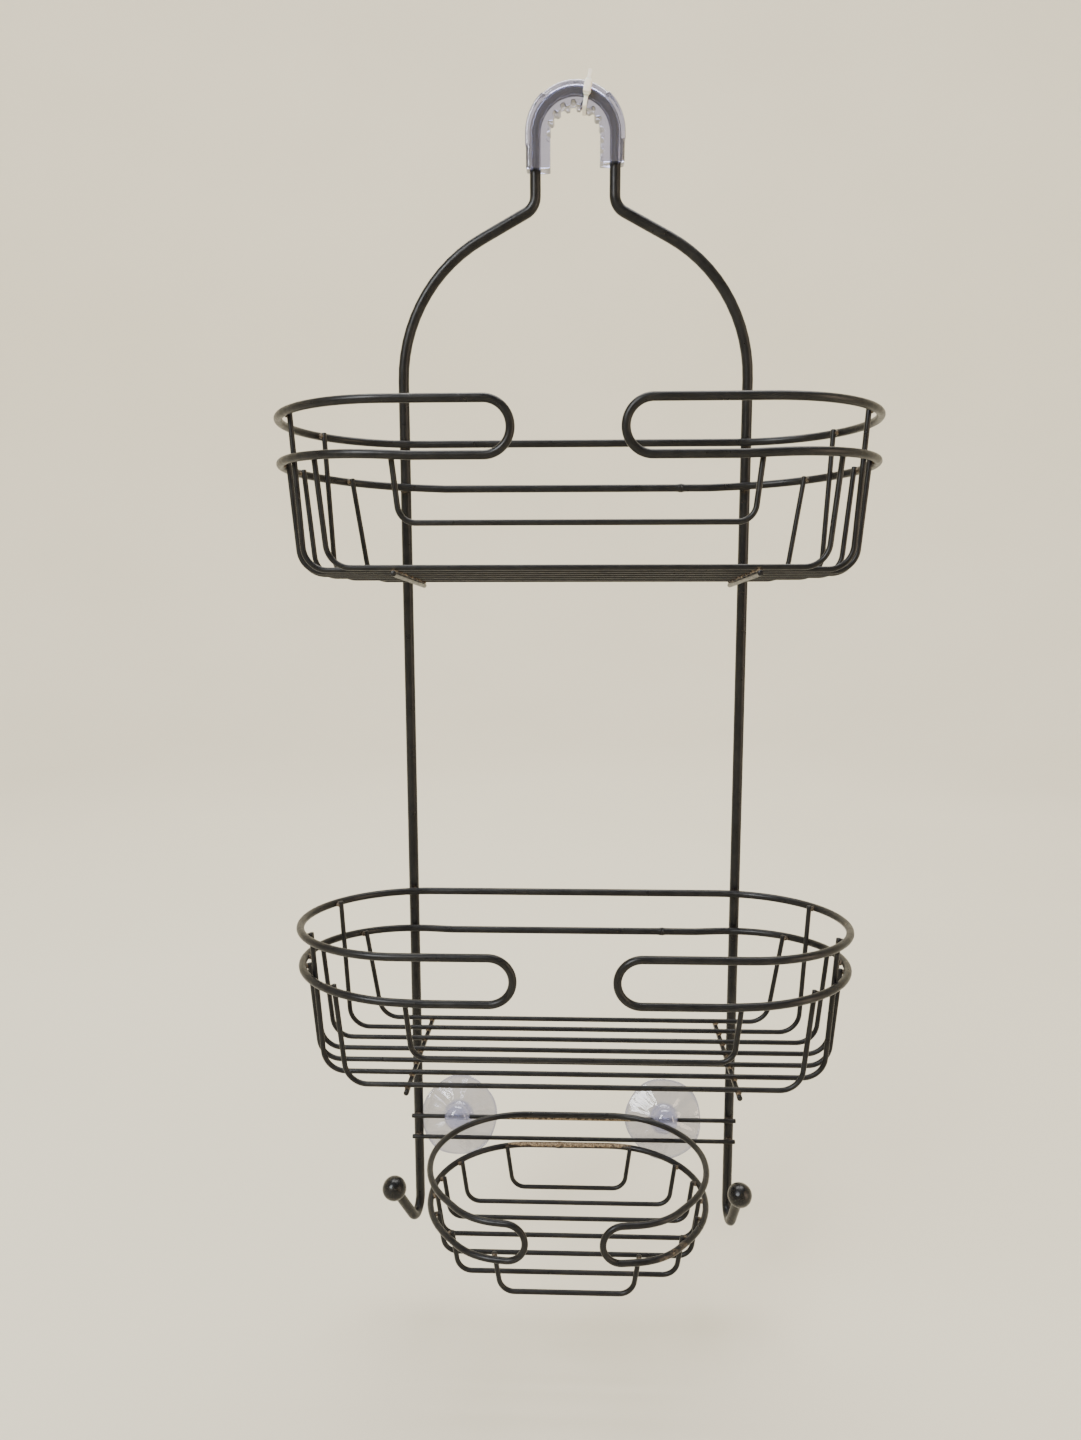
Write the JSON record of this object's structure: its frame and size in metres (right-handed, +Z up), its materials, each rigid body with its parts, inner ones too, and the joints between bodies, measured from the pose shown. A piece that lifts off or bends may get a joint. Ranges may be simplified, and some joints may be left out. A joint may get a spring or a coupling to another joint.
{
  "type": "shower caddy",
  "caption": "Hanging shower caddy in black coated wire with a clear grip sleeve, two baskets, a soap dish, hooks and suction cups.",
  "frame": {"origin": "the saddle: inside of the hanger's crown, on the tooth tips of its sleeve, where the shower arm sits", "axes": "+X to the right seen from the front, +Y back towards the wall, +Z up"},
  "size_m": [0.2524, 0.1247, 0.5618],
  "materials": {
    "coated_wire": "satin black powder coat over steel wire",
    "clear_vinyl": "clear soft PVC, glossy, faintly lavender",
    "dipped_ball": "glossy black dipped plastic",
    "white_nylon": "off-white nylon"
  },
  "bodies": {
    "caddy": {"hanger_frame": "coated_wire", "grip_sleeve": "clear_vinyl", "cable_tie": "white_nylon", "ball_tip_left": "dipped_ball", "ball_tip_right": "dipped_ball", "upper_basket_rim": "coated_wire", "upper_basket_floor_wire_1": "coated_wire", "upper_basket_floor_wire_2": "coated_wire", "upper_basket_floor_wire_3": "coated_wire", "upper_basket_floor_wire_4": "coated_wire", "upper_basket_floor_wire_5": "coated_wire", "upper_basket_floor_wire_6": "coated_wire", "upper_basket_floor_wire_7": "coated_wire", "upper_basket_front_guard": "coated_wire", "upper_basket_cross_bar_left": "coated_wire", "upper_basket_cross_bar_right": "coated_wire", "lower_basket_rim": "coated_wire", "lower_basket_floor_wire_1": "coated_wire", "lower_basket_floor_wire_2": "coated_wire", "lower_basket_floor_wire_3": "coated_wire", "lower_basket_floor_wire_4": "coated_wire", "lower_basket_floor_wire_5": "coated_wire", "lower_basket_floor_wire_6": "coated_wire", "lower_basket_floor_wire_7": "coated_wire", "lower_basket_front_guard": "coated_wire", "lower_basket_cross_bar_left": "coated_wire", "lower_basket_cross_bar_right": "coated_wire", "cross_wire_upper": "coated_wire", "cross_wire_lower": "coated_wire", "soap_dish_rim": "coated_wire", "soap_dish_wire_1": "coated_wire", "soap_dish_wire_2": "coated_wire", "soap_dish_wire_3": "coated_wire", "soap_dish_wire_4": "coated_wire", "soap_dish_wire_5": "coated_wire", "soap_dish_wire_6": "coated_wire", "soap_dish_wire_7": "coated_wire"},
    "cup_left": {"suction_cup_left": "clear_vinyl"},
    "cup_right": {"suction_cup_right": "clear_vinyl"}
  },
  "joints": [
    {"name": "cup_left_swivel", "type": "hinge", "parent": "caddy", "child": "cup_left", "pos_m": [-0.0614, -0.00395, -0.492], "axis": [1, 0, 0], "range_deg": [0, 45]},
    {"name": "cup_right_swivel", "type": "hinge", "parent": "caddy", "child": "cup_right", "pos_m": [0.0486, -0.00395, -0.492], "axis": [1, 0, 0], "range_deg": [0, 45]}
  ]
}
